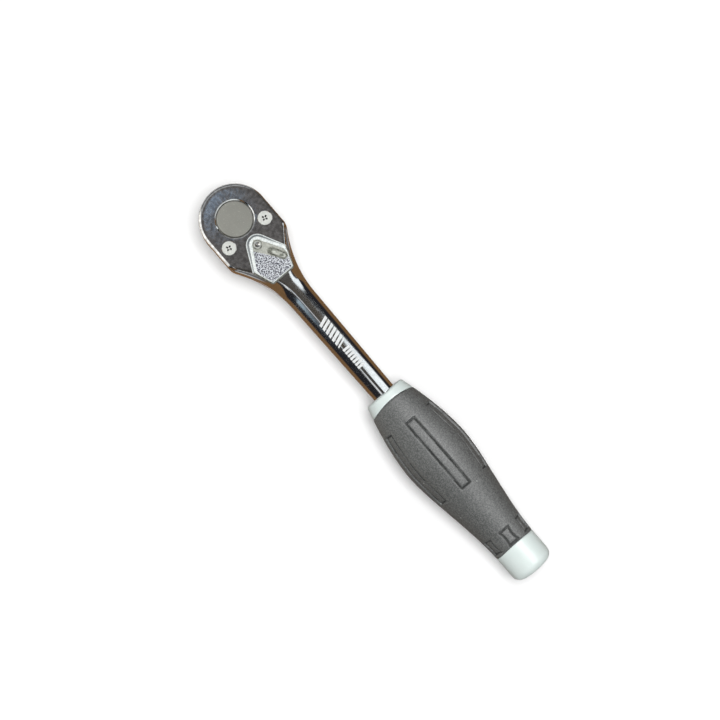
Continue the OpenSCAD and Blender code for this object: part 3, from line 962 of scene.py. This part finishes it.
def marked_chrome(name):
    """The forging's plating, with two frosted rows of plain hatching on top of the shank."""
    n, colour, roughness, normal = chrome(name, (0.76, 0.77, 0.78), 0.06, 0.0025, 0.1)
    x, y = n.times(n.axis(0), 1000.0), n.times(n.axis(1), 1000.0)
    mask = 0.0
    for start, end, half, period, lean in HATCHES:
        along = n.plus(x, n.times(y, lean))
        edge = period * BAR_EDGE
        bars = n.step(n.math("PINGPONG", along, period / 2), edge - BAR_SOFT, edge + BAR_SOFT)
        area = n.times(n.band(along, start, end, 0.1), n.band(y, -half, half, BAR_SOFT))
        mask = n.math("MAXIMUM", mask, n.times(bars, area))
    frost = n.ramp(n.noise(2600), 0.3, 0.5, start=0.55)
    mask = n.times(mask, n.math("GREATER_THAN", n.axis(2), AXIS_Z * MM), frost)
    colour = n.mix(mask, colour, (0.86, 0.88, 0.88))
    roughness = n.plus(roughness, n.times(mask, 0.45))
    metallic = n.minus(1.0, n.times(mask, 0.85))
    return n.set(Base_Color=colour, Metallic=metallic, Roughness=roughness, Normal=normal)


def satin_steel(name, tone, rough):
    """Clouded steel with small bright specks."""
    n = Look(name)
    speck = n.noise(1900)
    cloud = n.noise(260)
    colour = n.mix(cloud, scaled(0.84, tone), tone)
    colour = n.mix(n.ramp(speck, 0.6, 0.72, end=0.6), colour, scaled(1.45, tone))
    roughness = n.plus(rough - 0.06, n.times(cloud, 0.14))
    return n.set(Base_Color=colour, Metallic=0.7, Roughness=roughness,
                 Normal=n.bump(speck, 0.012, 0.6))


def bright_casting(name, low, high, metallic, scale=1500, edge=(0.4, 0.56)):
    """Cast metal with pits, of this scale and edge; the pits are painted darker as shade, the high spots
    lighter as wear and painted highlight.
    """
    n = Look(name)
    pits = n.noise(scale, 3.0, 0.6)
    colour = n.mix(n.ramp(pits, *edge), low, high)
    colour = n.mix(n.ramp(n.noise(2600, 2.0), 0.55, 0.7, end=0.7), colour, low)
    roughness = n.plus(0.24, n.times(n.noise(300, 2.0), 0.12))
    return n.set(Base_Color=colour, Metallic=metallic, Roughness=roughness,
                 Normal=n.bump(pits, 0.02, 0.6))


def pitted(name, scale, low, high, metallic, roughness, depth):
    """Bright plating, or the painted shade inside a screw's recess: two tones and a bump from one noise.
    """
    n = Look(name)
    pits = n.noise(scale)
    return n.set(Base_Color=n.mix(pits, low, high), Metallic=metallic, Roughness=roughness,
                 Normal=n.bump(pits, depth, 0.6))


def pale_plastic(name):
    """Pale green-white moulded plastic with faint dirt."""
    n = Look(name)
    cloud = n.noise(70)
    dirt = n.ramp(n.noise(240, 5.0, 0.65), 0.6, 0.78, end=0.3)
    colour = n.mix(cloud, (0.68, 0.76, 0.74), (0.73, 0.81, 0.785))
    colour = n.mix(dirt, colour, (0.52, 0.58, 0.56))
    return n.set(Base_Color=colour, Roughness=n.plus(0.34, n.times(cloud, 0.12)),
                 Normal=n.bump(n.noise(2200, 2.0), 0.006, 0.5), Subsurface_Weight=0.06,
                 Subsurface_Radius=(0.9, 1.0, 0.95), Subsurface_Scale=0.8 * MM)


def soft_black(name, tone, shine=1.0):
    """Black elastomer with a coarse bead-blasted grain, cloudy wear and a few specks of dust; a lower
    tone darkens it all, as painted shade in the moulded lines.
    """
    n = Look(name)
    grain = n.noise(2000, 2.0, 0.6)
    coarse = n.noise(800)
    colour = n.mix(n.noise(70), (0.032, 0.035, 0.034), (0.054, 0.058, 0.057))
    bloom = n.times(n.ramp(grain, 0.42, 0.62), 0.8)
    colour = n.mix(bloom, colour, (0.155, 0.162, 0.158))
    bloom = n.times(n.ramp(coarse, 0.5, 0.7), 0.4)
    colour = n.mix(bloom, colour, (0.13, 0.135, 0.132))
    dark = n.ramp(n.noise(1400, 2.0), 0.34, 0.46, 1.0, 0.0)
    colour = n.mix(n.times(dark, 0.6), colour, (0.02, 0.022, 0.022))
    dots = n.add("TexVoronoi", {"Scale": 230, "Vector": n.place}).outputs["Distance"]
    dust = n.times(n.ramp(dots, 0.0, 0.1, 1.0, 0.0),
                   n.ramp(n.noise(120), 0.55, 0.65, end=0.9))
    colour = n.mix(dust, colour, (0.7, 0.72, 0.7))
    colour = n.mix(tone, (0.004, 0.004, 0.004), colour)
    normal = n.bump(coarse, 0.06, 0.6, n.bump(grain, 0.05, 0.9))
    return n.set(Base_Color=colour, Roughness=n.plus(0.55, n.times(coarse, 0.16)),
                 Specular_IOR_Level=shine, Normal=normal)


def floor_material(name):
    """Pale floor that glows a little where the key light fades towards the horizon."""
    n = Look(name)
    colour = n.mix(n.noise(6), (0.95, 0.95, 0.95), (0.97, 0.97, 0.97))
    x, y = n.axis(0), n.axis(1)
    away = n.plus(n.times(x, x), n.times(y, y))
    lit = n.math("DIVIDE", KEY_HEIGHT ** 2, n.plus(away, KEY_HEIGHT ** 2))
    glow = n.times(n.minus(1.0, n.times(lit, lit)), 0.62)
    return n.set(Base_Color=colour, Roughness=0.9, Emission_Color=(1, 1, 1, 1),
                 Emission_Strength=glow)


CHROME = marked_chrome("chrome_plate")
PLATE = plain_chrome("polished_plate", (0.76, 0.76, 0.76), 0.05, 0.008, 0.42, 0.6)
SATIN = satin_steel("satin_drive", (0.5, 0.5, 0.452), 0.5)
GROUND = satin_steel("ground_steel", (0.5, 0.5, 0.5), 0.3)
WIRE = satin_steel("spring_wire", (0.42, 0.42, 0.43), 0.35)
CASTING = bright_casting("smooth_casting", (0.4, 0.41, 0.38), (0.62, 0.64, 0.6), 0.35)
# The bright rim tone also gives a painted highlight line along the nose's ledge.
RIM_METAL = bright_casting("bright_rim", (0.66, 0.71, 0.7), (0.88, 0.92, 0.9), 0.1)
# Painted shade on the lever's sloping sides.
SLOPE_METAL = bright_casting("shaded_slope", (0.16, 0.18, 0.2), (0.36, 0.39, 0.41), 0.3)
FIELD_METAL = bright_casting("smooth_field", (0.38, 0.39, 0.35), (0.5, 0.51, 0.46), 0.15)
# Painted shade: the valley round the bar, the tail's sides and the pin's rim.
PAINTED_SHADE = bright_casting("painted_shade_casting", (0.1, 0.105, 0.09), (0.3, 0.31, 0.27), 0.3)
# The bar's light patches are painted highlights over a darker tone.
BAR_METAL = bright_casting("bar_painted_highlights", (0.17, 0.18, 0.15), (0.62, 0.64, 0.58), 0.15, 550)
# Stipple painted near black in its pits as shade and light on its high spots as highlight.
STIPPLE = bright_casting("stippled_casting", (0.02, 0.02, 0.04), (0.8, 0.83, 0.87), 0.15,
                         1900, (0.43, 0.55))
PIN = plain_chrome("pin_steel", (0.72, 0.72, 0.7), 0.12, 0.006, 0.3)
SCREW = pitted("plated_screw", 1100, (0.58, 0.59, 0.55), (0.86, 0.88, 0.84), 0.25, 0.38, 0.012)
# Painted shade inside the screws' cross recesses.
RECESS_SHADE = pitted("recess_shade", 1500, (0.01, 0.01, 0.01), (0.07, 0.065, 0.06), 0.2, 0.7, 0.02)
PALE = pale_plastic("pale_moulding")
SOFT = soft_black("soft_black", 0.88)
# Painted shade in the moulded lines round the grip's panels.
LINE_SHADE = soft_black("moulded_line_shade", 0.55, 0.4)


def dress(obj, material):
    """Gives an object one material."""
    obj.data.materials.clear()
    obj.data.materials.append(material)


for obj, material, slot, body_name, nodes in (
        (body, CHROME, "forging", "housing", ["forged_body"]),
        (plate, PLATE, "plate", "housing", ["cover_plate"]),
        (screws[0], SCREW, "screws", "housing", ["cover_screw_left"]),
        (screws[1], SCREW, "screws", "housing", ["cover_screw_right"]),
        (pin, PIN, "hardened", "housing", ["pivot_pin"]),
        (lever, CASTING, "lever", "lever", ["reverse_lever"]),
        (block, CASTING, "lever", "lever", []),
        (disc, SATIN, "drive", "drive", ["drive_gear"]),
        (bearing, SATIN, "drive", "drive", []),
        (teeth, GROUND, "drive", "drive", []),
        (tang, SATIN, "drive", "drive", []),
        (ball_spring, WIRE, "spring_wire", "drive", ["detent_spring"]),
        (plunger_spring, WIRE, "spring_wire", "lever", ["selector_spring"]),
        (sleeve, SOFT, "soft_black", "housing", ["grip_sleeve"]),
        (core, PALE, "pale_plastic", "housing", ["grip_core"]),
        (cap, PALE, "pale_plastic", "housing", ["end_cap"])):
    dress(obj, material)
    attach(obj, body_name)
    if nodes:
        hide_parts(*nodes)

for node in ("detent_ball", "thrust_washer", "pawl", "selector_plunger"):
    dress(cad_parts[node], GROUND)


def paint_faces(obj, choose):
    """Gives every face the material chosen from its middle, in millimetres about the axis."""
    slots = list(obj.data.materials)
    for polygon in obj.data.polygons:
        x, y, z = polygon.center / MM
        material = choose(x, y, z - AXIS_Z)
        if material not in slots:
            slots.append(material)
            obj.data.materials.append(material)
        polygon.material_index = slots.index(material)


def recess_zone(side):
    """A screw's materials: painted shade inside the recess, plating elsewhere."""
    def choose(x, y, z):
        r = math.hypot(x - SCREW_AT[0], y - side * SCREW_AT[1])
        deep = HEAD_HALF_T - 1.4 < z < HEAD_HALF_T - 0.19
        return RECESS_SHADE if deep and 0.3 < r < 1.35 else SCREW
    return choose


def pin_zone(x, y, z):
    """The pin's materials: a casting tone as a painted highlight ring between a rim of painted shade and
    its polished dimple.
    """
    r = from_pivot(x, y)
    if r < 1.0:
        return PIN
    return CASTING if r < 1.65 else PAINTED_SHADE


def lever_zone(x, y, z):
    """The lever's materials: rim, with a painted highlight on the ledge; slopes and tail sides in painted
    shade; smooth field; bar with painted highlights in painted shade; and stipple.
    """
    if inset(TOP_LINES, x, y) < 0:
        # Painted shade on the tail's sides; beside the nose a painted highlight line on the ledge and
        # painted shade on the slope above it.
        if x > LEVER_CORNERS[1][0]:
            return PAINTED_SHADE
        return RIM_METAL if inset(BASE_LINES, x, y) < LEDGE else SLOPE_METAL
    if stipple(x, y) > 0.5:
        return STIPPLE
    if rim_distance(x, y) < 0:
        return RIM_METAL
    off_bar = rib_distance(x, y)
    if off_bar < -0.2:
        return BAR_METAL
    return PAINTED_SHADE if off_bar < RIB_VALLEY - 0.25 else FIELD_METAL


def sleeve_zone(x, y, z):
    """The sleeve's materials: painted shade in the moulded lines round the panels, elastomer elsewhere.
    """
    outside = math.hypot(y, z) > grip_radius(x) - 0.7 * SLEEVE_T
    in_line = outside and panel_sink(x, math.atan2(y, z)) > PANEL_DEPTH + 0.16
    return LINE_SHADE if in_line else SOFT


for obj, zone in ((screws[0], recess_zone(1)), (screws[1], recess_zone(-1)), (pin, pin_zone),
                  (lever, lever_zone), (sleeve, sleeve_zone)):
    paint_faces(obj, zone)

# Each spring gets a mesh of its own.
for spring, node, joint, travel in (
        (ball_spring, "detent_spring", "ball_press", BALL_TRAVEL),
        (plunger_spring, "selector_spring", "plunger_press", PLUNGER_TRAVEL)):
    low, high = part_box(node)
    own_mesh(spring)

# ---------- stage and room

# The floor leans to touch the square drive and the grip's belly, with a hair's gap.
bm = bmesh.new()
bmesh.ops.create_grid(bm, x_segments=8, y_segments=8, size=3.0)
floor_mesh = bpy.data.meshes.new("floor")
bm.to_mesh(floor_mesh)
bm.free()
floor = bpy.data.objects.new("floor", floor_mesh)
bpy.context.scene.collection.objects.link(floor)
floor.rotation_euler = (0, -math.atan2(AXIS_Z - BELLY_R, BELLY_X), 0)
floor.location = (0, 0, -FLOOR_GAP * MM)
dress(floor, floor_material("pale_floor"))
floor.visible_glossy = False
floor.visible_diffuse = False

scene = bpy.context.scene
world = bpy.data.worlds.new("room")
scene.world = world
w = Graph(world)
DX, DY, DZ = w.add("SeparateXYZ",
                   {0: w.add("TexCoord").outputs["Generated"]}).outputs
TO_FRONT, DOWN = w.times(DX, -1.0), w.times(DZ, -1.0)


def square_of(value):
    """The square of a socket."""
    return w.math("POWER", w.math("ABSOLUTE", value), 2.0)


# The room that shows in the plating. Directions to the front (DX < -0.07) show in the head,
# the middle ones in the shank, and those to the rear (DX > 0.07) in the neck's flanks.
# A mottled grey ceiling over dark walls:
patchy = w.plus(0.05, w.times(w.noise(75, 4, 0.5), 1.9))
ceiling = (0.16, 0.153, 0.15)
for low, high, colour in ((-0.08, -0.05, (0.092, 0.085, 0.078)),
                          (-0.045, -0.02, (0.092, 0.078, 0.064)),
                          (0.015, 0.04, (0.06, 0.058, 0.056))):
    ceiling = w.mix(w.step(DX, low, high), ceiling, colour)
walls = w.mix(w.step(TO_FRONT, 0.065, 0.08), (0.02, 0.02, 0.024), (0.11, 0.105, 0.1))
room = w.mix(w.step(DZ, 0.78, 0.93), walls, w.mix(1.0, ceiling, patchy, "MULTIPLY"))

# A bluish patch on the head's nose.
spot = w.plus(square_of(w.plus(DX, 0.136)), square_of(w.minus(DY, 0.052)))
nose_patch = w.times(w.step(w.times(spot, -1.0), -0.0003, -0.00003), w.step(DZ, 0.8, 0.95))
room = w.mix(w.math("MULTIPLY", nose_patch, patchy, True), room, (0.4, 0.52, 0.68))

# A brown table, which reaches high up for the neck's flanks.
table = w.step(DOWN, -0.05, 0.25)
sideways = w.step(w.minus(w.math("ABSOLUTE", DY), w.times(DX, 1.5)), 0.0, 0.12)
table_top = w.math("MINIMUM", w.times(w.minus(DX, 0.07), 6.5), 0.88)
high_table = w.times(w.step(DX, 0.06, 0.08), sideways,
                     w.step(w.minus(table_top, DZ), -0.05, 0.05))
room = w.mix(w.math("MAXIMUM", table, high_table), room, (0.21, 0.117, 0.053))

# Far to the front and rear a pale floor, a dark horizon and light walls, for the tool's sides.
white_floor = w.mix(w.step(DZ, -0.35, -0.05), (0.72, 0.72, 0.71), (0.3, 0.3, 0.3))
light_walls = w.mix(w.step(DZ, 0.1, 0.8), (0.1, 0.103, 0.107), (0.5, 0.51, 0.52))
studio = w.mix(w.step(DZ, -0.06, 0.02), white_floor, light_walls)
ends = w.math("MAXIMUM", w.step(DX, 0.36, 0.46), w.step(TO_FRONT, 0.28, 0.42))
room = w.mix(ends, room, studio)

# Windows and other bright patches.
low_edge = w.math("MAXIMUM", w.minus(0.55, w.times(DX, 10.0)), 0.17)
low_edge = w.math("MINIMUM", low_edge, 0.5)
high_edge = w.math("MINIMUM", w.plus(0.74, w.times(DX, 5.0)), 0.9)
far_window = w.times(w.band(DX, 0.003, 0.12, 0.01), w.band(DY, low_edge, high_edge, 0.03),
                     w.step(DZ, -0.05, 0.1))
rear_sky = w.times(w.band(DX, 0.36, 0.95, 0.05), w.band(DY, -0.62, 0.6, 0.05),
                   w.step(DZ, 0.45, 0.6), 0.85)
near_window = w.times(w.band(DX, -0.95, -0.07, 0.02), w.band(DY, -2, -0.45, 0.05),
                      w.band(DZ, -0.85, 0.8, 0.08))
near_light = w.mix(w.step(DZ, -0.35, 0.0), (1.0, 0.92, 0.82), (1.6, 1.6, 1.55))
streak = w.times(w.band(DX, -0.06, 0.1, 0.01), w.band(DY, -0.4, -0.29, 0.025), 0.75)
rear_patch = w.times(w.band(DX, 0.04, 0.1, 0.004), w.band(DY, -0.52, -0.3, 0.05))
blue = w.times(w.band(DY, -0.85, -0.5, 0.08), w.step(DZ, 0.2, 0.4),
               w.band(DX, -0.045, -0.017, 0.004))
for patch, colour in ((far_window, (1.2, 1.27, 1.3)), (rear_sky, (1.0, 1.05, 1.05)),
                      (near_window, near_light), (streak, (0.85, 0.9, 0.95)),
                      (rear_patch, (1.0, 1.02, 1.02)), (blue, (0.45, 0.58, 0.68))):
    room = w.mix(patch, room, colour)

# Only glossy rays see the room; the rest is soft even light, and white behind the floor.
path = w.add("LightPath")
soft_light = w.mix(w.step(DZ, -0.2, 0.6), (0.3, 0.3, 0.3), (0.36, 0.36, 0.36))
lit = w.mix(path.outputs["Is Glossy Ray"], soft_light, room)
lit = w.mix(path.outputs["Is Camera Ray"], lit, (0.96, 0.96, 0.96))
background = w.add("Background", {"Color": lit})
w.add("OutputWorld", {"Surface": background.outputs[0]})

# ---------- lights and camera


def soft_box(name, at, power, glossy):
    """A large area light that looks at the middle of the tool."""
    light = bpy.data.lights.new(name, "AREA")
    light.shape = "RECTANGLE"
    light.size, light.size_y = 0.6, 0.5
    light.energy = power
    obj = bpy.data.objects.new(name, light)
    scene.collection.objects.link(obj)
    obj.location = at
    aim = Vector((0.08, 0, 0.01))
    obj.rotation_euler = (Vector(at) - aim).to_track_quat("Z", "Y").to_euler()
    obj.visible_glossy = glossy
    return obj


soft_box("key_light", (0.085, 0.05, KEY_HEIGHT), 12, False)

# A box that only glints on the grip: the plating sees the room instead.
glint = soft_box("grip_glint", (0.085, 0.4, 1.1), 20, True)
glint.visible_diffuse = False
mouldings = bpy.data.collections.new("mouldings")
for obj in (sleeve, core, cap):
    mouldings.objects.link(obj)
glint.light_linking.receiver_collection = mouldings

# The camera looks down at the tool with its handle running to the lower right.
TARGET = Vector((0.07534, 0.00142, AXIS_Z * MM))
TILT = 3.5
FOCAL = 80.0
DISTANCE = 0.645
HANDLE_DROP = 49.19487
across, down = polar(1, HANDLE_DROP)
flat, rise = polar(1, TILT)
right = Vector((across, down * flat, down * rise))
up = Vector((-down, across * flat, across * rise))
back = Vector((0, -rise, flat))
camera_data = bpy.data.cameras.new("camera")
camera_data.lens = FOCAL
camera_data.sensor_width = 36
camera = bpy.data.objects.new("camera", camera_data)
scene.collection.objects.link(camera)
place = Matrix((right, up, back)).transposed().to_4x4()
place.translation = TARGET + back * DISTANCE
camera.matrix_world = place
scene.camera = camera
scene.view_settings.view_transform = "Standard"
